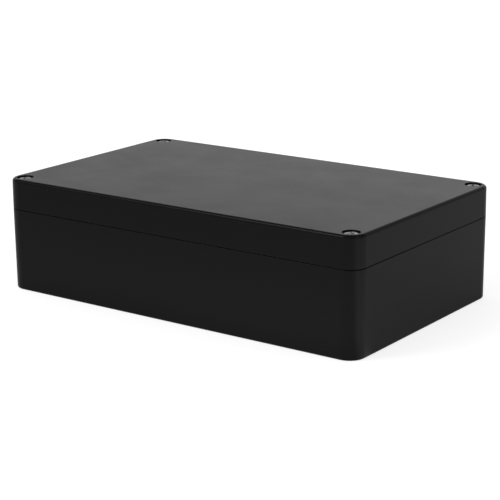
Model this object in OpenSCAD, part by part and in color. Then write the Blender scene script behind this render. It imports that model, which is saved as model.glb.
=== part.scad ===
// Plastic project box: a deep base and a shallow lid held by four captive screws.
// A tongue on the base presses a gasket in the lid's groove. Lid screws and wall-fixing
// holes stand in four corner blocks, outside the seal.
// Millimetres. Origin at the centre of the underside, X along the length, Z up.

/* [Body] */
// Outside length at the parting line
body_l = 200; // [170:1:260]
// Outside width at the parting line
body_w = 120; // [100:1:180]
// Height over the closed box
body_h = 55; // [50:1:90]
// Height of the lid above the parting line
lid_h = 15; // [14:0.5:18]
// Outside corner radius at the parting line
corner_r = 8; // [6:0.5:10]
// Radius along the lid's top edge
lid_edge_r = 1.5; // [0.8:0.1:2]
// Radius along the base's bottom edge
base_edge_r = 1; // [0.5:0.1:2]
// Radius along both rims where they meet
rim_edge_r = 0.25; // [0.2:0.05:0.5]
// Height of the shadow gap at the parting line, under the lid's lip
seam_gap = 0.25; // [0.1:0.05:0.4]
// Depth of the shadow gap, in from the outside
seam_depth = 0.9; // [0.5:0.1:1.1]
// Draft of the base: how far its foot stands in from its rim
base_draft = 0.2; // [0.1:0.1:0.8]
// Draft of the lid: how far its top stands in from its rim
lid_draft = 0.1; // [0.1:0.1:0.4]

/* [Walls] */
// Thickness of the base's side walls
wall_t = 3; // [2.6:0.1:3.4]
// Thickness of the base's floor
floor_t = 2.5; // [2:0.1:4]
// Thickness of the lid's top plate
top_t = 2.8; // [2:0.1:3.2]
// Radius where the floor meets the walls inside
inner_edge_r = 1; // [0.5:0.1:2]

/* [Seal] */
// Thickness of the tongue round the base's rim
tongue_t = 1.4; // [1:0.1:1.6]
// Height of the tongue above the rim
tongue_h = 2.2; // [1.5:0.1:3]
// Gap on each side of the tongue in the lid's groove
groove_gap = 0.15; // [0.1:0.05:0.25]
// Height of the gasket strip above the tongue
gasket_h = 1.8; // [1.2:0.1:2.4]
// Gap on each side of the gasket strip in the groove
gasket_gap = 0.05; // [0.02:0.01:0.1]
// Thickness of the lid's wall inside the groove
groove_wall_t = 1.2; // [1:0.1:1.8]
// Radius of the rim where it turns in from a side to a corner block
seal_fillet_r = 6; // [5:0.5:8]
// Radius of a corner block's free corner
seal_corner_r = 2; // [1:0.5:3]

/* [Corner blocks] */
// Distance of a lid screw from both outside faces
screw_inset = 6.8; // [6.6:0.1:7.4]
// Distance of a wall-fixing hole from the end face
fix_inset_x = 7.5; // [7.5:0.1:9]
// Distance of a wall-fixing hole from the side face
fix_inset_y = 17.5; // [17.5:0.5:21]
// Diameter of a wall-fixing hole
fix_hole_d = 4.5; // [4:0.1:5.2]
// Width of the well over a wall-fixing hole, across the box
well_w = 11; // [10:0.2:11.4]
// Radius of the well's upright corners
well_r = 2; // [1:0.5:3]
// How far the lid's pocket stands in from the well under it
pocket_step = 0.8; // [0.4:0.1:1]
// Thickness of plastic under the fixing screw's head
well_floor_t = 4; // [3:0.5:6]
// Thickness of a corner block between its well and the inside of the box
block_wall_t = 2.2; // [2:0.1:2.6]
// Side of the core pocket under a lid screw
core_w = 7; // [6:0.5:7.5]
// Radius of the core pocket's upright corners
core_r = 1.5; // [1:0.1:2]
// Thickness left between the core pocket and the screw's hole
core_skin = 3; // [2:0.5:4]

/* [Lid screws] */
// Thread diameter of a lid screw
thread_d = 4; // [3.5:0.1:4]
// Thread pitch
thread_pitch = 0.7; // [0.5:0.05:0.8]
// Length of thread held in the insert
thread_grip = 4.3; // [4:0.1:5]
// Diameter of the screw head
head_d = 7; // [6.5:0.1:7.2]
// Height of the screw head at its rim
head_rim_h = 2.7; // [1.6:0.1:3]
// Height of the head's crown above its rim
head_crown_h = 0.6; // [0.4:0.1:1]
// Width of the driving slots across the head
slot_l = 3.9; // [3.4:0.1:4.4]
// Thickness of the driving slots
slot_t = 0.9; // [0.7:0.1:1.1]
// Depth of the driving slots
slot_h = 1.7; // [1.2:0.1:2]
// Depth of the head's crown under the lid's top
head_sink = 0.2; // [0.1:0.1:1.5]
// Diameter of the recess round the head
recess_d = 8.2; // [7.8:0.1:8.6]
// Thickness of lid under the head
seat_t = 2; // [1.5:0.1:2.5]
// Diameter of the lid's hole for the screw
clearance_d = 4.6; // [4.5:0.1:5]
// Radial play round a screw in its washer and its insert
thread_play = 0.05; // [0.03:0.01:0.09]

/* [Retaining washers] */
// Outside diameter of the washer that keeps a screw in the lid
washer_d = 7; // [6:0.1:7]
// Thickness of the washer
washer_t = 1; // [0.8:0.1:1.2]
// Diameter of the pocket that the washer rises in
pocket_d = 7.6; // [7.6:0.1:8]
// Gap over the washer when its screw is fully out
washer_gap = 0.1; // [0.05:0.05:0.3]

/* [Thread inserts] */
// Outside diameter of a brass insert
insert_d = 5.6; // [5.2:0.1:6]
// Length of an insert
insert_l = 6; // [5:0.5:8]
// Depth of an insert's end under the rim
insert_sink = 0.2; // [0.1:0.1:0.5]
// Number of relief grooves round an insert
groove_count = 2; // [1:1:3]
// Width of a relief groove
groove_w = 0.8; // [0.5:0.1:1]
// Depth of a relief groove
groove_depth = 0.3; // [0.2:0.05:0.4]
// Diameter of the hole under an insert
tip_hole_d = 4.6; // [4.4:0.1:5]
// Depth of that hole past the insert
tip_room = 2; // [1:0.5:4]

/* [Board bosses] */
// Distance between the outer bosses along the length
boss_outer_x = 152; // [120:1:154]
// Distance between the inner bosses along the length
boss_inner_x = 76; // [40:1:100]
// Distance between the two rows of bosses
boss_pitch_y = 91; // [60:1:92]
// Diameter of a boss at its top
boss_d = 6; // [5:0.1:7]
// Diameter of a boss at the floor
boss_foot_d = 7; // [7:0.1:8]
// Height of a boss above the floor
boss_h = 5; // [3:0.5:8]
// Diameter of a boss's screw hole
pilot_d = 2.6; // [2:0.1:3]
// Thickness left under a boss's screw hole
pilot_skin = 1.2; // [0.8:0.1:1.6]

/* [Hidden] */
$fn = 64;
plastic = "#1e1f21";
rubber = "#45464a";
steel = "#b9bcc0";
nylon = "#e6e4da";
brass = "#c8a24a";
// Overshoot of a cut past the face that it opens
over = 1;

// Places of the corners, going round from -X -Y
corners = [[-1, -1], [1, -1], [1, 1], [-1, 1]];
centre_x = body_l / 2 - corner_r;
centre_y = body_w / 2 - corner_r;

// Levels that the pieces share
rim_z = body_h - lid_h;
groove_top_z = rim_z + tongue_h + gasket_h;
head_h = head_rim_h + head_crown_h;
seat_z = body_h - head_sink - head_h;
pocket_top_z = seat_z - seat_t;
insert_z = rim_z - insert_sink;
tip_z = insert_z - thread_grip;
hole_z = insert_z - insert_l - tip_room;

// A screw leaves its insert after a whole number of turns, and its washer has room to rise with it
screw_travel = ceil(thread_grip / thread_pitch) * thread_pitch;
washer_z = pocket_top_z - washer_gap - screw_travel - washer_t;

// Insets of the seal's faces from the outside of the box
tongue_in = wall_t;
tongue_out = wall_t - tongue_t;
groove_out = tongue_out - groove_gap;
groove_in = tongue_in + groove_gap;
lid_in = groove_in + groove_wall_t;

// A well runs from the end wall to as far on the other side of its fixing hole
well_l = 2 * (fix_inset_x - wall_t);

// Reach of a corner block from the outside faces, less the wall thickness
block_x = fix_inset_x + well_l / 2 + block_wall_t - wall_t;
block_y = fix_inset_y + well_w / 2 + block_wall_t - wall_t;

// How far the centre of an edge radius stands back from the corner that it rounds
function set_back(r, lean) = r * (1 - sin(lean)) / cos(lean);

// Section of a moulded wall, from x = 0 out to r at its foot and r + out at its top
module wall_section(r, out, h, foot_r, top_r) {
  lean = atan(out / h);
  face = [cos(lean), -sin(lean)];
  foot = [r - set_back(foot_r, lean), foot_r];
  top = [r + out - set_back(top_r, -lean), h - top_r];
  round_top = top_r > 0 ? [top + top_r * face] : [];
  polygon(concat([[0, 0], [foot[0], 0], foot + foot_r * face], round_top, [[top[0], h], [0, h]]));
  translate(foot) circle(foot_r);
  if (top_r > 0) translate(top) circle(top_r);
}

// A slab with a rounded rectangle for its plan and wall_section all the way round
module moulded_slab(r, out, h, foot_r, top_r) {
  rotate([90, 0, 90]) linear_extrude(2 * centre_x, center = true) for (side = [0, 1]) mirror([side, 0]) {
    square([centre_y, h]);
    translate([centre_y, 0]) wall_section(r, out, h, foot_r, top_r);
  }
  for (side = [0, 1]) mirror([side, 0, 0]) translate([centre_x, 0, 0]) rotate([90, 0, 0])
    linear_extrude(2 * centre_y, center = true) wall_section(r, out, h, foot_r, top_r);
  for (c = corners) translate([c[0] * centre_x, c[1] * centre_y, 0])
    rotate(atan2(c[1], c[0]) - 45) rotate_extrude(angle = 90) wall_section(r, out, h, foot_r, top_r);
}

// Children drawn for the +X +Y corner, from the outside corner point inwards, put at corner c
module at_corner(c) {
  mirror([c[0] < 0 ? 1 : 0, 0, 0]) mirror([0, c[1] < 0 ? 1 : 0, 0])
    translate([body_l / 2, body_w / 2, 0]) children();
}

// Children put on the axis of a corner's lid screw or of its wall-fixing hole
module at_screw(c) { at_corner(c) translate([-screw_inset, -screw_inset, 0]) children(); }
module at_fixing(c) { at_corner(c) translate([-fix_inset_x, -fix_inset_y, 0]) children(); }

// An upright prism with rounded corners, standing on z = 0
module rounded_prism(l, w, h, r) {
  linear_extrude(h) {
    square([l - 2 * r, w], center = true);
    square([l, w - 2 * r], center = true);
    for (c = corners) translate([c[0] * (l / 2 - r), c[1] * (w / 2 - r)]) circle(r);
  }
}

// Plan of a corner block, grown by t: square to the sides, rounded where it stands free
module block_plan(t) {
  free = seal_corner_r + t;
  fillet = seal_fillet_r - t;
  reach = [-block_x - t, -block_y - t];
  difference() {
    translate(reach) square(-reach + [over, over]);
    difference() {
      translate(reach - [over, over]) square(free + over);
      translate(reach + [free, free]) circle(free);
    }
  }
  for (p = [[reach[0], -t], [-t, reach[1]]]) translate(p - [fillet, fillet]) difference() {
    square(fillet + t + over);
    circle(fillet);
  }
}

// Plan of everything inside the seal line that stands t in from the outside of the box
module seal_plan(t) {
  difference() {
    square([body_l - 2 * t, body_w - 2 * t], center = true);
    for (c = corners) at_corner(c) block_plan(t);
  }
}

// Band of the seal line between two insets
module seal_band(outer, inner, h) {
  linear_extrude(h) difference() {
    seal_plan(outer);
    seal_plan(inner);
  }
}

// Children put on each board boss
module at_bosses() {
  for (x = [boss_outer_x / 2, boss_inner_x / 2], c = corners)
    translate([c[0] * x, c[1] * boss_pitch_y / 2, 0]) children();
}

// Deep tray with the tongue, the corner blocks and the board bosses
module base() color(plastic) {
  cavity_h = rim_z - floor_t;
  core_h = hole_z - core_skin;
  difference() {
    union() {
      difference() {
        moulded_slab(corner_r - base_draft, base_draft, rim_z, base_edge_r, rim_edge_r);
        difference() {
          translate([0, 0, floor_t])
            moulded_slab(corner_r - wall_t - base_draft, base_draft, cavity_h, inner_edge_r, 0);
          for (c = corners) at_corner(c) linear_extrude(rim_z + over) block_plan(wall_t);
        }
      }
      translate([0, 0, rim_z]) seal_band(tongue_out, tongue_in, tongue_h);
      at_bosses() cylinder(h = floor_t + boss_h, d1 = boss_foot_d, d2 = boss_d);
    }
    at_bosses() translate([0, 0, pilot_skin]) cylinder(h = body_h, d = pilot_d);
    for (c = corners) {
      at_screw(c) {
        translate([0, 0, insert_z - insert_l]) cylinder(h = body_h, d = insert_d);
        translate([0, 0, hole_z]) cylinder(h = body_h, d = tip_hole_d);
        translate([0, 0, -over]) rounded_prism(core_w, core_w, core_h + over, core_r);
      }
      at_fixing(c) {
        translate([0, 0, well_floor_t]) rounded_prism(well_l, well_w, body_h, well_r);
        translate([0, 0, -over]) cylinder(h = body_h, d = fix_hole_d);
      }
    }
  }
}

// Shallow cover with the groove for the gasket and the recesses for the screws
module lid() color(plastic) {
  inside_h = body_h - top_t - rim_z;
  difference() {
    union() {
      translate([0, 0, rim_z + seam_gap])
        moulded_slab(corner_r, -lid_draft, lid_h - seam_gap, rim_edge_r, lid_edge_r);
      translate([0, 0, rim_z])
        rounded_prism(body_l - 2 * seam_depth, body_w - 2 * seam_depth, lid_h / 2, corner_r - seam_depth);
    }
    translate([0, 0, rim_z - over]) {
      linear_extrude(inside_h + over) seal_plan(lid_in);
      seal_band(groove_out, groove_in, groove_top_z - rim_z + over);
      for (c = corners) {
        at_screw(c) cylinder(h = pocket_top_z - rim_z + over, d = pocket_d);
        at_fixing(c)
          rounded_prism(well_l - 2 * pocket_step, well_w - 2 * pocket_step, inside_h + over, well_r);
      }
    }
    for (c = corners) at_screw(c) {
      cylinder(h = body_h + over, d = clearance_d);
      translate([0, 0, seat_z]) cylinder(h = lid_h, d = recess_d);
    }
  }
}

// Rubber strip between the tongue and the roof of the groove
module gasket() color(rubber) {
  translate([0, 0, rim_z + tongue_h])
    seal_band(groove_out + gasket_gap, groove_in - gasket_gap, gasket_h);
}

// Domed head with crossed driving slots, on a plain shank
module lid_screw(i) color(steel) {
  crown_r = ((head_d / 2) ^ 2 + head_crown_h ^ 2) / (2 * head_crown_h);
  at_screw(corners[i - 1]) {
    difference() {
      intersection() {
        translate([0, 0, seat_z]) cylinder(h = head_h, d = head_d);
        translate([0, 0, seat_z + head_h - crown_r]) sphere(crown_r);
      }
      translate([0, 0, seat_z + head_h - slot_h]) intersection() {
        linear_extrude(slot_h + over) for (a = [0, 90]) rotate(a) square([slot_l, slot_t], center = true);
        cylinder(h = slot_h, r1 = slot_t, r2 = slot_l / 2);
      }
    }
    translate([0, 0, tip_z]) cylinder(h = seat_z - tip_z, d = thread_d);
  }
}

// Thin washer that a screw turns in, too wide for the lid's hole
module retaining_washer(i) color(nylon) {
  at_screw(corners[i - 1]) translate([0, 0, washer_z]) difference() {
    cylinder(h = washer_t, d = washer_d);
    translate([0, 0, -over]) cylinder(h = washer_t + 2 * over, d = thread_d + 2 * thread_play);
  }
}

// Threaded bush with relief grooves, pressed into a corner block
module thread_insert(i) color(brass) {
  spacing = insert_l / (groove_count + 1);
  at_screw(corners[i - 1]) translate([0, 0, insert_z - insert_l]) difference() {
    cylinder(h = insert_l, d = insert_d);
    translate([0, 0, -over]) cylinder(h = insert_l + 2 * over, d = thread_d + 2 * thread_play);
    for (k = [1 : groove_count]) rotate_extrude()
      translate([insert_d / 2 - groove_depth, k * spacing - groove_w / 2]) square([over, groove_w]);
  }
}

base();
lid();
gasket();
for (i = [1 : 4]) {
  lid_screw(i);
  retaining_washer(i);
  thread_insert(i);
}
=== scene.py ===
import math
import bpy
import numpy as np
from mathutils import Matrix, Vector


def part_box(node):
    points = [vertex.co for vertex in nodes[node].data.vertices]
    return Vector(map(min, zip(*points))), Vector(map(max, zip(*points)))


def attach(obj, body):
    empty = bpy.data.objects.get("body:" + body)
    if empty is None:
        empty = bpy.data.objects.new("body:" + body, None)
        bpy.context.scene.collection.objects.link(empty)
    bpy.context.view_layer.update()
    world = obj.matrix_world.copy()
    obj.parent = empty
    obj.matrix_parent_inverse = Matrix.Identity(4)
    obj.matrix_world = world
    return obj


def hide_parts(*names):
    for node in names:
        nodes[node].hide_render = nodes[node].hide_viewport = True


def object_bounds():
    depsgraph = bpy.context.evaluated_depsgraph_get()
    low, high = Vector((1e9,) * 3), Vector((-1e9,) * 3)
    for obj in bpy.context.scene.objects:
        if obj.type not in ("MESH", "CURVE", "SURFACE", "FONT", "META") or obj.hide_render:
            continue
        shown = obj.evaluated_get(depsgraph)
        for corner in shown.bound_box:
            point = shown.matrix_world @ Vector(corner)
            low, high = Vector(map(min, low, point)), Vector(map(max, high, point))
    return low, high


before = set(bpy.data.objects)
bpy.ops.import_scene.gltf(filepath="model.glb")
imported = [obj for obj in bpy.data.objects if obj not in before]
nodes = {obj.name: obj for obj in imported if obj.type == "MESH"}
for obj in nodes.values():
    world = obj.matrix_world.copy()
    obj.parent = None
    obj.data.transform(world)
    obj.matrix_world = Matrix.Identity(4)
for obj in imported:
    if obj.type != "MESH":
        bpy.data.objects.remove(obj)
boxLow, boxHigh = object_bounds()
mm = 0.001
corners = (1, 2, 3, 4)
onePoint = 1e-9             # a row this small across is a single point
leastSine = 1e-6            # keeps a division by a sine finite
scene = bpy.context.scene
scene.view_settings.view_transform = "Standard"
print("frame loaded:", len(nodes), "nodes")


def addNode(tree, kind, values=None, **settings):
    # each value is set on the input of that name, or linked to it if it is another node's socket
    node = tree.nodes.new(kind)
    for name, value in settings.items():
        setattr(node, name, value)
    for name, value in (values or {}).items():
        if isinstance(value, bpy.types.NodeSocket):
            tree.links.new(value, node.inputs[name])
        else:
            node.inputs[name].default_value = value
    return node


def newGroup(name, inputs, outputs):
    # inputs and outputs are (name, socket type, default) and (name, socket type)
    tree = bpy.data.node_groups.new(name, "ShaderNodeTree")
    for label, kind, value in inputs:
        socket = tree.interface.new_socket(name=label, in_out="INPUT", socket_type=kind)
        socket.default_value = value
    for label, kind in outputs:
        tree.interface.new_socket(name=label, in_out="OUTPUT", socket_type=kind)
    return tree, tree.nodes.new("NodeGroupInput"), tree.nodes.new("NodeGroupOutput")


def mathNode(tree, operation, first, second):
    return addNode(tree, "ShaderNodeMath", {0: first, 1: second}, operation=operation).outputs[0]


def mapped(tree, value, ends, low, high, curve="LINEAR"):
    # carries a value between its two ends onto low..high, and holds it there past the ends
    node = addNode(tree, "ShaderNodeMapRange", {
        "Value": value, "From Min": ends[0], "From Max": ends[1], "To Min": low, "To Max": high},
        interpolation_type=curve)
    return node.outputs["Result"]


def shaded(tree, color, factor, darkest, lightest):
    # a colour made darker or lighter as the factor goes from 0 to 1
    node = addNode(tree, "ShaderNodeVectorMath", {
        0: color, "Scale": mapped(tree, factor, (0, 1), darkest, lightest)}, operation="SCALE")
    return node.outputs["Vector"]


def roughened(tree, given, factor):
    # the group's roughness, less its spread where the factor is 0 and more by it where that is 1
    middle, half = given.outputs["Roughness"], given.outputs["Roughness Spread"]
    smoothest = mathNode(tree, "SUBTRACT", middle, half)
    roughest = mathNode(tree, "ADD", middle, half)
    return mapped(tree, factor, (0, 1), smoothest, roughest)


def mouldedSkin():
    # fine spark-eroded grain with soft patches, as a moulded part takes from its tool
    tree, given, made = newGroup(
        "mouldedSkin",
        [("Color", "NodeSocketColor", (0.5, 0.5, 0.5, 1)), ("Tone", "NodeSocketFloat", 0.1),
         ("Grain Scale", "NodeSocketFloat", 4000), ("Patch Scale", "NodeSocketFloat", 25),
         ("Roughness", "NodeSocketFloat", 0.4), ("Roughness Spread", "NodeSocketFloat", 0.05)],
        [("Color", "NodeSocketColor"), ("Roughness", "NodeSocketFloat"), ("Height", "NodeSocketFloat")])
    place = addNode(tree, "ShaderNodeTexCoord").outputs["Object"]
    grain = addNode(tree, "ShaderNodeTexNoise", {
        "Vector": place, "Scale": given.outputs["Grain Scale"], "Detail": 3, "Roughness": 0.6})
    patch = addNode(tree, "ShaderNodeTexNoise", {
        "Vector": place, "Scale": given.outputs["Patch Scale"], "Detail": 5, "Roughness": 0.6})
    # the patches lighten or darken the colour by the stated tone
    dark = mathNode(tree, "SUBTRACT", 1.0, given.outputs["Tone"])
    light = mathNode(tree, "ADD", 1.0, given.outputs["Tone"])
    color = shaded(tree, given.outputs["Color"], patch.outputs["Fac"], dark, light)
    tree.links.new(color, made.inputs["Color"])
    tree.links.new(roughened(tree, given, patch.outputs["Fac"]), made.inputs["Roughness"])
    tree.links.new(grain.outputs["Fac"], made.inputs["Height"])
    return tree


metalCast = {
    "scratchStretch": (1, 1, 6),  # how much finer the scratches are along each axis
    "patchScale": 260,
    "dullest": 0.85,              # what the patches do to the colour
    "brightest": 1.1,
}


def turnedMetal():
    # faint scratches stretched round the part, and a bright or dull cast from place to place
    tree, given, made = newGroup(
        "turnedMetal",
        [("Color", "NodeSocketColor", (0.6, 0.6, 0.6, 1)), ("Scratch Scale", "NodeSocketFloat", 900),
         ("Roughness", "NodeSocketFloat", 0.3), ("Roughness Spread", "NodeSocketFloat", 0.1)],
        [("Color", "NodeSocketColor"), ("Roughness", "NodeSocketFloat"), ("Height", "NodeSocketFloat")])
    place = addNode(tree, "ShaderNodeTexCoord").outputs["Object"]
    stretched = addNode(tree, "ShaderNodeMapping", {
        "Vector": place, "Scale": metalCast["scratchStretch"]}).outputs["Vector"]
    scratch = addNode(tree, "ShaderNodeTexNoise", {
        "Vector": stretched, "Scale": given.outputs["Scratch Scale"], "Detail": 5, "Roughness": 0.7})
    cast = addNode(tree, "ShaderNodeTexNoise", {
        "Vector": place, "Scale": metalCast["patchScale"], "Detail": 2})
    color = shaded(tree, given.outputs["Color"], cast.outputs["Fac"],
                   metalCast["dullest"], metalCast["brightest"])
    tree.links.new(color, made.inputs["Color"])
    tree.links.new(roughened(tree, given, scratch.outputs["Fac"]), made.inputs["Roughness"])
    tree.links.new(scratch.outputs["Fac"], made.inputs["Height"])
    return tree


effects = {"mouldedSkin": mouldedSkin(), "turnedMetal": turnedMetal()}


def finish(name, effect, effectValues, bump, shaderValues):
    # one shared effect drives colour, roughness and bump, and the rest is set on the shader
    material = bpy.data.materials.new(name)
    material.use_nodes = True
    tree = material.node_tree
    tree.nodes.clear()
    surface = addNode(tree, "ShaderNodeGroup", node_tree=effects[effect])
    for label, value in effectValues.items():
        surface.inputs[label].default_value = value
    relief = addNode(tree, "ShaderNodeBump", {
        "Strength": bump["strength"], "Distance": bump["depth"], "Height": surface.outputs["Height"]})
    shader = addNode(tree, "ShaderNodeBsdfPrincipled", {
        "Normal": relief.outputs["Normal"], "Base Color": surface.outputs["Color"],
        "Roughness": surface.outputs["Roughness"], **shaderValues})
    addNode(tree, "ShaderNodeOutputMaterial", {"Surface": shader.outputs["BSDF"]})
    return material


blackAbs = finish(
    "blackAbs", "mouldedSkin",
    {"Color": (0.006, 0.006, 0.0061, 1), "Tone": 0.15, "Grain Scale": 3000, "Patch Scale": 48,
     "Roughness": 0.3, "Roughness Spread": 0.055},
    {"strength": 0.1, "depth": 0.03 * mm},
    {"Specular IOR Level": 0.108, "IOR": 1.5})

sealRubber = finish(
    "sealRubber", "mouldedSkin",
    {"Color": (0.045, 0.045, 0.048, 1), "Tone": 0.2, "Grain Scale": 2600, "Patch Scale": 60,
     "Roughness": 0.72, "Roughness Spread": 0.08},
    {"strength": 0.5, "depth": 0.05 * mm},
    {"Specular IOR Level": 0.35})

naturalNylon = finish(
    "naturalNylon", "mouldedSkin",
    {"Color": (0.78, 0.76, 0.69, 1), "Tone": 0.05, "Grain Scale": 3000, "Patch Scale": 150,
     "Roughness": 0.45, "Roughness Spread": 0.06},
    {"strength": 0.2, "depth": 0.02 * mm},
    {"Subsurface Weight": 0.15, "Subsurface Radius": (0.4 * mm, 0.4 * mm, 0.3 * mm)})

brightSteel = finish(
    "brightSteel", "turnedMetal",
    {"Color": (0.47, 0.47, 0.465, 1), "Scratch Scale": 1400, "Roughness": 0.3, "Roughness Spread": 0.1},
    {"strength": 0.25, "depth": 0.02 * mm},
    {"Metallic": 1.0})

turnedBrass = finish(
    "turnedBrass", "turnedMetal",
    {"Color": (0.72, 0.5, 0.2, 1), "Scratch Scale": 1100, "Roughness": 0.33, "Roughness Spread": 0.1},
    {"strength": 0.25, "depth": 0.02 * mm},
    {"Metallic": 1.0})


def closedGrid(points):
    # vertices and faces of a rows x columns x 3 grid whose columns close on themselves. Where the end
    # rows are each one point they become poles with fans, and otherwise the last row joins the first.
    rows, columns = points.shape[:2]
    if np.ptp(points[0], axis=0).max() > onePoint:
        vertices = points.reshape(-1, 3)
        lower = np.arange(rows * columns).reshape(rows, columns)
        upper = np.roll(lower, -1, axis=0)
        fans = []
    else:
        vertices = np.concatenate([points[:1, 0], points[1:-1].reshape(-1, 3), points[-1:, 0]])
        full = 1 + np.arange((rows - 2) * columns).reshape(rows - 2, columns)
        lower, upper = full[:-1], full[1:]
        start, end = np.zeros_like(full[0]), np.full_like(full[0], len(vertices) - 1)
        fans = [np.stack([start, np.roll(full[0], -1), full[0]], axis=-1),
                np.stack([full[-1], np.roll(full[-1], -1), end], axis=-1)]
    quads = np.stack([lower, np.roll(lower, -1, axis=1), np.roll(upper, -1, axis=1), upper], axis=-1)
    return vertices, fans[:1] + [quads.reshape(-1, 4)] + fans[1:]


def gridPiece(name, points, material, smoothAngle):
    # a mesh from the closed grid, smooth but for the edges that are sharper than the angle
    vertices, faces = closedGrid(points)
    sizes = np.concatenate([np.full(len(block), block.shape[1]) for block in faces])
    loops = np.concatenate([block.ravel() for block in faces])
    mesh = bpy.data.meshes.new(name)
    mesh.vertices.add(len(vertices))
    mesh.vertices.foreach_set("co", vertices.astype(np.float32).ravel())
    mesh.loops.add(len(loops))
    mesh.loops.foreach_set("vertex_index", loops.astype(np.int32))
    mesh.polygons.add(len(sizes))
    mesh.polygons.foreach_set("loop_start", (np.cumsum(sizes) - sizes).astype(np.int32))
    mesh.polygons.foreach_set("loop_total", sizes.astype(np.int32))
    mesh.update(calc_edges=True)
    mesh.validate()
    mesh.materials.append(material)
    mesh.shade_smooth()
    mesh.set_sharp_from_angle(angle=math.radians(smoothAngle))
    piece = bpy.data.objects.new(name, mesh)
    scene.collection.objects.link(piece)
    return piece


def ringRows(radius, height, columns):
    # rows of (radius, height) all round: a single value in a row is the same at every column
    radius, height = (np.asarray(part, dtype=float) for part in (radius, height))
    wide = [part[:, None] if part.ndim == 1 else part for part in (radius, height)]
    return np.stack(np.broadcast_arrays(*wide, np.zeros((len(radius), columns)))[:2], axis=-1)


def roundTurn(rows, angles, centre):
    # a point at each (row, angle): the radius out from the centre at that angle, and up by the height
    around = np.stack([np.cos(angles), np.sin(angles)], axis=-1)
    flat = rows[..., :1] * around + np.array(centre)
    return np.concatenate([flat, rows[..., 1:]], axis=-1)


def threadWave(height, angles, pitch):
    # 0 at a root and 1 at a crest: a triangle wave of the height in turns, less the angle in turns
    phase = (height[:, None] / pitch - angles[None, :] / (2 * np.pi)) % 1.0
    return 1 - np.abs(2 * phase - 1)


screwShape = {
    "columns": 120,
    "shankRadius": 2.0 * mm,
    "crestClear": 0.02 * mm,    # how far the thread's crests stay inside the shank's radius
    "pitch": 0.7 * mm,
    "rowsPerTurn": 6,
    "threadDepth": 0.42 * mm,
    "runOut": 1.5,              # turns over which the thread fades out towards the neck
    "plainNeck": 1.4 * mm,      # shank left without thread under the head
    "neckFillet": 0.2 * mm,
    "neckRoom": 0.25 * mm,      # height under the head that is left to the fillet
    "tipChamfer": 0.5 * mm,
    "tipFlat": 0.25 * mm,       # how far the flat end stays inside the thread's root
    "tipNarrow": 0.18,          # share of its radius that the thread loses towards the tip
    "tipStart": 0.55,           # least share of the way along that taper, so that the tip stays blunt
    "headRim": 2.7 * mm,        # height of the head's side
    "rimBevel": 0.1 * mm,       # under the head, at its outer edge
    "crown": 0.6 * mm,          # rise of the dome above the side
    "edgeRadius": 0.22 * mm,
    "slotHalfLength": 2.0 * mm,
    "slotHalfWidth": 0.52 * mm,
    "slotDepth": 1.65 * mm,
    "slotFootLength": 0.85 * mm,  # half length at the foot of the recess
    "slotFootWidth": 0.36 * mm,   # half width there
    "slotPoint": 0.3 * mm,      # depth of the point below the foot
    "slotBevel": 0.05 * mm,
    "crossTurn": (30, 60, 15, 75),  # degrees that each screw's recess came to rest at
    "edgeRows": 5,
    "domeRows": 12,
    "recessRows": 8,
    "pointRows": 5,
    "smoothAngle": 40,
}


def crossReach(angles, halfLength, halfWidth):
    # distance from the centre to the edge of a cross: along an arm's end or along its side, the nearer
    folded = np.abs((angles + np.pi / 4) % (np.pi / 2) - np.pi / 4)
    return np.minimum(halfLength / np.cos(folded), halfWidth / np.maximum(np.sin(folded), leastSine))


def capHeight(r, top, radius):
    # height at r from the middle of a sphere's cap that peaks at the top
    return top - radius + np.sqrt(radius ** 2 - r ** 2)


def shankRings(tip, seat, angles):
    # radius is the crest less the thread depth times (1 - wave) times the fade, narrowed at the tip
    s = screwShape
    z = np.arange(tip + s["tipChamfer"], seat - s["neckRoom"], s["pitch"] / s["rowsPerTurn"])
    wave = threadWave(z, angles, s["pitch"])
    fade = np.clip((seat - s["plainNeck"] - z) / (s["runOut"] * s["pitch"]), 0, 1)[:, None]
    taper = np.clip((z - tip) / (2 * s["tipChamfer"]), s["tipStart"], 1)[:, None]
    crest = s["shankRadius"] - s["crestClear"]
    thread = (crest - s["threadDepth"] * (1 - wave) * fade) * (1 - s["tipNarrow"] * (1 - taper ** 2))
    flat = s["shankRadius"] - s["threadDepth"] - s["tipFlat"]
    end = ringRows([0, flat], [tip, tip], len(angles))
    return np.concatenate([end, ringRows(thread, z, len(angles))])


def headRings(top, seat, headRadius, capRadius, mouth):
    # fillet under the head, bearing face, side, edge rounded by a quarter turn, then the dome
    # in to the mouth of the recess
    s = screwShape
    columns = len(mouth)
    quarter = np.linspace(0, np.pi / 2, s["edgeRows"])
    inward, upward = 1 - np.cos(quarter), np.sin(quarter)
    neck = s["shankRadius"] - s["crestClear"]
    fillet = ringRows(neck + s["neckFillet"] * inward, seat - s["neckFillet"] * (1 - upward), columns)
    face = ringRows([headRadius - s["rimBevel"], headRadius], [seat, seat + s["rimBevel"]], columns)
    domeEdge = headRadius - s["edgeRadius"]
    rimTop = capHeight(domeEdge, top, capRadius) - s["edgeRadius"]
    rim = ringRows(headRadius - s["edgeRadius"] * inward, rimTop + s["edgeRadius"] * upward, columns)
    t = np.linspace(0, 1, s["domeRows"])[1:, None]
    r = (1 - t) * domeEdge + t * (mouth + s["slotBevel"])
    return np.concatenate([fillet, face, rim, ringRows(r, capHeight(r, top, capRadius), columns)])


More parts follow.
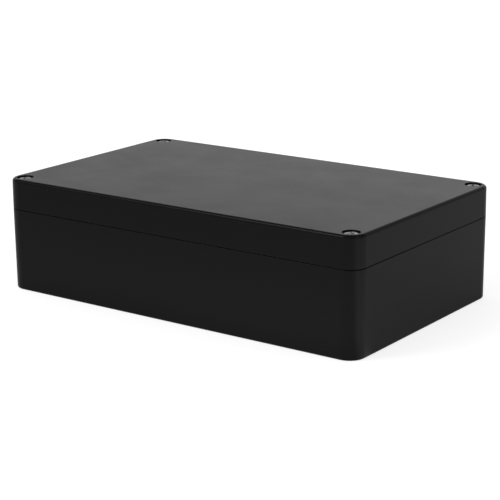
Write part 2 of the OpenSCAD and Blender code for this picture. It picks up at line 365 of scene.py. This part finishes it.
def recessRings(top, capRadius, crossAngles):
    # the cross shrinks evenly from its mouth to its foot, then closes to a point
    s = screwShape
    t = np.linspace(0, 1, s["recessRows"])[:, None]
    length = s["slotHalfLength"] + t * (s["slotFootLength"] - s["slotHalfLength"])
    width = s["slotHalfWidth"] + t * (s["slotFootWidth"] - s["slotHalfWidth"])
    reach = crossReach(crossAngles, length, width)
    lip = capHeight(reach, top, capRadius) - s["slotBevel"]
    foot = top - s["slotDepth"]
    wall = ringRows(reach, (1 - t) * lip + t * foot, len(crossAngles))
    t = np.linspace(0, 1, s["pointRows"])[1:, None]
    point = ringRows((1 - t) * reach[-1], foot - t * s["slotPoint"], len(crossAngles))
    return np.concatenate([wall, point])


def lidScrew(number):
    s = screwShape
    low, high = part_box(f"lid_screw_{number}")
    centre = ((low.x + high.x) / 2, (low.y + high.y) / 2)
    headRadius = (high.x - low.x) / 2
    seat = high.z - s["headRim"] - s["crown"]
    capRadius = (headRadius ** 2 + s["crown"] ** 2) / (2 * s["crown"])
    angles = np.linspace(0, 2 * np.pi, s["columns"], endpoint=False)
    crossAngles = angles - math.radians(s["crossTurn"][number - 1])
    mouth = crossReach(crossAngles, s["slotHalfLength"], s["slotHalfWidth"])
    rows = np.concatenate([
        shankRings(low.z, seat, angles),
        headRings(high.z, seat, headRadius, capRadius, mouth),
        recessRings(high.z, capRadius, crossAngles)])
    piece = gridPiece(f"crossScrew{number}", roundTurn(rows, angles, centre), brightSteel, s["smoothAngle"])
    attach(piece, f"screw_{number}")
    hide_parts(f"lid_screw_{number}")


insertShape = {
    "columns": 96,
    "outsideRows": 49,
    "pitch": 0.7 * mm,
    "rowsPerTurn": 6,
    "threadDepth": 0.3 * mm,
    "bore": 2.06 * mm,          # radius at the thread's crests, clear of the screw
    "knurls": 24,
    "knurlDepth": 0.12 * mm,
    "grooves": 2,
    "grooveHalf": 0.4 * mm,     # half the width of a relief groove
    "grooveDepth": 0.3 * mm,
    "chamfer": 0.25 * mm,
    "smoothAngle": 35,
}


def threadInsert(number):
    s = insertShape
    low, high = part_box(f"thread_insert_{number}")
    centre = ((low.x + high.x) / 2, (low.y + high.y) / 2)
    outer = (high.x - low.x) / 2
    angles = np.linspace(0, 2 * np.pi, s["columns"], endpoint=False)

    # outside, going up: knurled by a cosine round the bush, cut back at the relief grooves
    up = np.linspace(low.z + s["chamfer"], high.z - s["chamfer"], s["outsideRows"])
    knurl = s["knurlDepth"] * (0.5 - 0.5 * np.cos(s["knurls"] * angles))
    grooveHeights = np.linspace(low.z, high.z, s["grooves"] + 2)[1:-1]
    away = np.abs(up[:, None] - grooveHeights[None, :]).min(axis=1)
    inGroove = (away < s["grooveHalf"])[:, None]
    outside = np.where(inGroove, outer - s["grooveDepth"], outer - knurl[None, :])

    # inside, going down: crests at the bore radius, roots a thread depth further out
    down = np.arange(high.z - s["chamfer"], low.z + s["chamfer"], -s["pitch"] / s["rowsPerTurn"])
    inside = s["bore"] + s["threadDepth"] * (1 - threadWave(down, angles, s["pitch"]))
    edge, mouth = outer - s["chamfer"], s["bore"] + s["threadDepth"]
    rows = np.concatenate([
        ringRows([edge], [low.z], s["columns"]),
        ringRows(outside, up, s["columns"]),
        ringRows([edge, mouth], [high.z, high.z], s["columns"]),
        ringRows(inside, down, s["columns"]),
        ringRows([mouth], [low.z], s["columns"])])
    piece = gridPiece(f"threadBush{number}", roundTurn(rows, angles, centre), turnedBrass, s["smoothAngle"])
    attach(piece, "base")
    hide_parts(f"thread_insert_{number}")


sealShape = {
    "blockX": 11.2 * mm,        # reach of a corner block from the end face, for an inset of nothing
    "blockY": 22.2 * mm,        # the same from the side face
    "freeCorner": 2.0 * mm,     # radius of the block's free corner, for an inset of nothing
    "turnIn": 6.0 * mm,         # radius where the rim turns in to a block, for an inset of nothing
    "halfWidth": 0.8 * mm,
    "squareness": 0.55,         # 1 gives an ellipse, towards 0 a rectangle
    "arcRows": 10,
    "sectionColumns": 20,
    "smoothAngle": 60,
}


def sealCorner(inset):
    # three quarter turns round the block at the +X +Y corner, as points with their outward normals
    s = sealShape
    endX, sideY = boxHigh.x - inset, boxHigh.y - inset
    blockX, blockY = endX - s["blockX"], sideY - s["blockY"]
    turn, free = s["turnIn"] - inset, s["freeCorner"] + inset
    sweep = np.linspace(0, np.pi / 2, s["arcRows"])
    points, normals = [], []
    for centre, radius, angles, side in (
            ((endX - turn, blockY - turn), turn, sweep, 1),
            ((blockX + free, blockY + free), free, -np.pi / 2 - sweep, -1),
            ((blockX - turn, sideY - turn), turn, sweep, 1)):
        facing = np.stack([np.cos(angles), np.sin(angles)], axis=-1)
        points.append(np.array(centre) + radius * facing)
        normals.append(side * facing)
    return np.concatenate(points), np.concatenate(normals)


def sealStrip():
    # a rounded section carried along a route that is one corner's, mirrored into the other three
    s = sealShape
    low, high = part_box("gasket")
    outerInset = boxHigh.y - high.y
    halfHeight = (high.z - low.z) / 2
    points, normals = sealCorner(outerInset + s["halfWidth"])
    mirrored = (((1, 1), 1), ((-1, 1), -1), ((-1, -1), 1), ((1, -1), -1))
    route = np.concatenate([(points * sign)[::order] for sign, order in mirrored])
    outward = np.concatenate([(normals * sign)[::order] for sign, order in mirrored])
    # section: a rounded rectangle, from the cosine and sine of a turn, each raised to the squareness
    turn = np.linspace(0, 2 * np.pi, s["sectionColumns"], endpoint=False)
    across = s["halfWidth"] * np.sign(np.cos(turn)) * np.abs(np.cos(turn)) ** s["squareness"]
    rise = halfHeight * np.sign(np.sin(turn)) * np.abs(np.sin(turn)) ** s["squareness"]
    flat = route[:, None, :] + outward[:, None, :] * across[None, :, None]
    height = np.broadcast_to(low.z + halfHeight + rise, flat.shape[:2])[..., None]
    strip = np.concatenate([flat, height], axis=-1)[::-1]
    piece = gridPiece("sealStrip", strip, sealRubber, s["smoothAngle"])
    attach(piece, "lid")
    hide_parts("gasket")


for number in corners:
    lidScrew(number)
    threadInsert(number)
sealStrip()
print("screws, inserts and seal made")


def dress(name, material):
    # a moulded part keeps its solid and takes a finish
    mesh = nodes[name].data
    mesh.materials.clear()
    mesh.materials.append(material)


for name in ("base", "lid"):
    dress(name, blackAbs)
for number in corners:
    dress(f"retaining_washer_{number}", naturalNylon)
print("finishes set")


studio = {
    "floorSize": 6.0,
    "floorDrop": 0.02 * mm,    # keeps the floor just clear of the underside
    "floorColor": (0.5, 0.5, 0.5, 1),
    "floorGlow": 0.68,         # added where the camera sees the floor, so that it reads as white
    # what a gloss sees of the floor, a painted glow that shows on the box only as painted reflections: a
    # sheen that changes from back to front, weaker to the left, and a fan of painted light that opens at the
    # front right corner
    "sheenDepth": (0.05, -0.25),   # y at which the sheen starts, behind the middle, and ends
    "sheen": ((0.0, 0.17), (0.3, 0.27), (0.48, 0.66), (0.85, 0.36), (1.0, 0.2)),
    "sheenWidth": (-0.22, 0.06),   # x at which the sheen is weakest and at which it is full
    "sheenWeakest": 0.15,
    "fanApex": (0.092, -0.052, 0),
    "fanTurn": -5,             # degrees from +X to the fan's middle
    "fanReach": 0.42,
    "fanGlow": 1.5,
    "fanAlong": ((0.0, 0.25), (0.12, 0.88), (1.0, 0.0)),   # share of its reach, and share of its glow
    # degrees from the middle, and share of its glow
    "fanAcross": ((-27, 0.0), (-13, 0.5), (0, 1.0), (14, 0.56), (38, 0.45), (53, 0.0)),
    # what a gloss sees of the room, where 1 is white: a wall behind the box, darker walls at the
    # sides and in front, and a dark ceiling
    "behind": (-0.59, 0.81, 0),    # the way to the wall behind
    "alongWall": (0.81, 0.59, 0),  # the way from its left to its right
    "wallTurn": 0.15,          # sine of the turn to either side over which the wall behind changes
    "wallBehind": (0.78, 0.93),    # from its left to its right
    "wallsAside": 0.3,
    # cosines of the turn from behind: up to the first are the walls aside, past the second the one behind
    "asideTurn": (0.35, 0.8),
    "ceiling": 0.12,
    # sines of the height at which the walls start to darken and at which they have become the ceiling
    "ceilingRise": (0.32, 0.62),
    "fill": 0.7,               # even light from the room on matt surfaces
    "lampAim": (0, 0, 0.03),
    "key": {"place": (-1.5, -2.0, 2.4), "size": 1.2, "power": 28.0},
    "side": {"place": (2.4, -0.5, 1.3), "size": 1.2, "power": 6.0},
}


def ramp(tree, value, stops):
    # grey at the value's place among stops that run from 0 to 1
    node = addNode(tree, "ShaderNodeValToRGB", {"Fac": value})
    points = node.color_ramp.elements
    for stop, grey in stops:
        point = points[0] if stop == 0 else points[-1] if stop == 1 else points.new(stop)
        point.color = (grey, grey, grey, 1)
    return node.outputs["Color"]


def seenDirectly(tree):
    # 1 for rays that show the background: from the camera, a gloss or a glass
    path = addNode(tree, "ShaderNodeLightPath")
    some = mathNode(tree, "MAXIMUM", path.outputs["Is Camera Ray"], path.outputs["Is Glossy Ray"])
    return mathNode(tree, "MAXIMUM", some, path.outputs["Is Transmission Ray"])


def towards(tree, direction, way):
    # cosine of the turn between a direction and a fixed way
    node = addNode(tree, "ShaderNodeVectorMath", {0: direction, 1: way}, operation="DOT_PRODUCT")
    return node.outputs["Value"]


def whiteWorld():
    # matt surfaces get an even fill, a gloss sees the room, and the camera sees white
    world = bpy.data.worlds.new("softRoom")
    scene.world = world
    world.use_nodes = True
    tree = world.node_tree
    tree.nodes.clear()
    look = addNode(tree, "ShaderNodeTexCoord").outputs["Generated"]
    height = addNode(tree, "ShaderNodeSeparateXYZ", {"Vector": look}).outputs["Z"]
    turn = studio["wallTurn"]
    wallBehind = mapped(tree, towards(tree, look, studio["alongWall"]), (-turn, turn), *studio["wallBehind"])
    walls = mapped(tree, towards(tree, look, studio["behind"]), studio["asideTurn"],
                   studio["wallsAside"], wallBehind, "SMOOTHSTEP")
    room = mapped(tree, height, studio["ceilingRise"], walls, studio["ceiling"], "SMOOTHSTEP")
    isCamera = addNode(tree, "ShaderNodeLightPath").outputs["Is Camera Ray"]
    strength = addNode(tree, "ShaderNodeMix", {
        "Factor": seenDirectly(tree), "A": studio["fill"],
        "B": mathNode(tree, "MAXIMUM", room, isCamera)}).outputs["Result"]
    light = addNode(tree, "ShaderNodeBackground", {"Color": (1, 1, 1, 1), "Strength": strength})
    addNode(tree, "ShaderNodeOutputWorld", {"Surface": light.outputs[0]})


def paintedFloorSheen(tree, place):
    # painted sheen on the floor, seen only in gloss as a painted reflection: what it is at its depth, times
    # what it is at its width
    parts = addNode(tree, "ShaderNodeSeparateXYZ", {"Vector": place})
    depth = mapped(tree, parts.outputs["Y"], studio["sheenDepth"], 0.0, 1.0)
    width = mapped(tree, parts.outputs["X"], studio["sheenWidth"], studio["sheenWeakest"], 1.0)
    return mathNode(tree, "MULTIPLY", ramp(tree, depth, studio["sheen"]), width)


def paintedFloorFan(tree, place):
    # painted fan of light on the floor, seen only in gloss as a painted reflection: what it is at its
    # distance from the apex, times what it is at its angle from the middle
    fromApex = addNode(tree, "ShaderNodeMapping", {
        "Vector": place, "Location": studio["fanApex"],
        "Rotation": (0, 0, math.radians(studio["fanTurn"]))}, vector_type="TEXTURE").outputs["Vector"]
    parts = addNode(tree, "ShaderNodeSeparateXYZ", {"Vector": fromApex})
    distance = addNode(tree, "ShaderNodeVectorMath", {0: fromApex}, operation="LENGTH").outputs["Value"]
    along = ramp(tree, mathNode(tree, "DIVIDE", distance, studio["fanReach"]), studio["fanAlong"])
    angle = mathNode(tree, "ARCTAN2", parts.outputs["Y"], parts.outputs["X"])
    first, last = studio["fanAcross"][0][0], studio["fanAcross"][-1][0]
    share = mapped(tree, angle, (math.radians(first), math.radians(last)), 0.0, 1.0)
    across = ramp(tree, share, [((a - first) / (last - first), grey) for a, grey in studio["fanAcross"]])
    return mathNode(tree, "MULTIPLY", mathNode(tree, "MULTIPLY", along, across), studio["fanGlow"])


def whiteFloor():
    # pale paper that takes shadows, with a glow of its own for rays that show the background: even for the
    # camera, and the painted sheen and fan of light for a gloss
    half = studio["floorSize"] / 2
    mesh = bpy.data.meshes.new("floor")
    outline = [(-half, -half, 0), (half, -half, 0), (half, half, 0), (-half, half, 0)]
    mesh.from_pydata(outline, [], [(0, 1, 2, 3)])
    material = bpy.data.materials.new("whitePaper")
    material.use_nodes = True
    tree = material.node_tree
    tree.nodes.clear()
    place = addNode(tree, "ShaderNodeTexCoord").outputs["Object"]
    # what a gloss sees here: the painted sheen and fan of light, which show on the box as painted
    # reflections
    paintedGlossGlow = mathNode(tree, "ADD", paintedFloorSheen(tree, place), paintedFloorFan(tree, place))
    glow = addNode(tree, "ShaderNodeMix", {
        "Factor": addNode(tree, "ShaderNodeLightPath").outputs["Is Camera Ray"],
        "A": paintedGlossGlow, "B": studio["floorGlow"]}).outputs["Result"]
    lit = addNode(tree, "ShaderNodeEmission", {
        "Strength": mathNode(tree, "MULTIPLY", seenDirectly(tree), glow)})
    paper = addNode(tree, "ShaderNodeBsdfDiffuse", {"Color": studio["floorColor"]})
    both = addNode(tree, "ShaderNodeAddShader", {0: paper.outputs[0], 1: lit.outputs[0]})
    addNode(tree, "ShaderNodeOutputMaterial", {"Surface": both.outputs[0]})
    mesh.materials.append(material)
    floor = bpy.data.objects.new("floor", mesh)
    scene.collection.objects.link(floor)
    floor.location.z = -studio["floorDrop"]


def softbox(name, values):
    # a square lamp that faces the aim
    lamp = bpy.data.lights.new(name, "AREA")
    lamp.shape = "SQUARE"
    lamp.size = values["size"]
    lamp.energy = values["power"]
    lampObject = bpy.data.objects.new(name, lamp)
    scene.collection.objects.link(lampObject)
    lampObject.location = values["place"]
    aim = Vector(studio["lampAim"]) - lampObject.location
    lampObject.rotation_euler = aim.to_track_quat("-Z", "Y").to_euler()


shot = {
    "azimuth": 36.07,          # degrees from the long front side towards the right end
    "elevation": 15.37,
    "roll": -0.49,
    "lens": 115.1,             # millimetres, as is the sensor
    "sensor": 36,
    "distance": 0.76875,       # from the middle of the box
    "right": 1.75 * mm,        # how far the camera stands off that line
    "up": -6.54 * mm,
}


def placeCamera():
    azimuth, elevation, roll = (math.radians(shot[k]) for k in ("azimuth", "elevation", "roll"))
    back = Vector((math.sin(azimuth) * math.cos(elevation), -math.cos(azimuth) * math.cos(elevation),
                   math.sin(elevation)))
    level = Vector((math.cos(azimuth), math.sin(azimuth), 0))
    right = math.cos(roll) * level + math.sin(roll) * back.cross(level)
    up = back.cross(right)
    centre = (boxLow + boxHigh) / 2
    place = centre + back * shot["distance"] + right * shot["right"] + up * shot["up"]
    data = bpy.data.cameras.new("camera")
    data.lens = shot["lens"]
    data.sensor_width = shot["sensor"]
    camera = bpy.data.objects.new("camera", data)
    scene.collection.objects.link(camera)
    turn = Matrix((right, up, back)).transposed().to_4x4()
    camera.matrix_world = Matrix.Translation(place) @ turn
    scene.camera = camera


whiteWorld()
whiteFloor()
softbox("keyBox", studio["key"])
softbox("sideBox", studio["side"])
placeCamera()
print("stage, light and camera set")
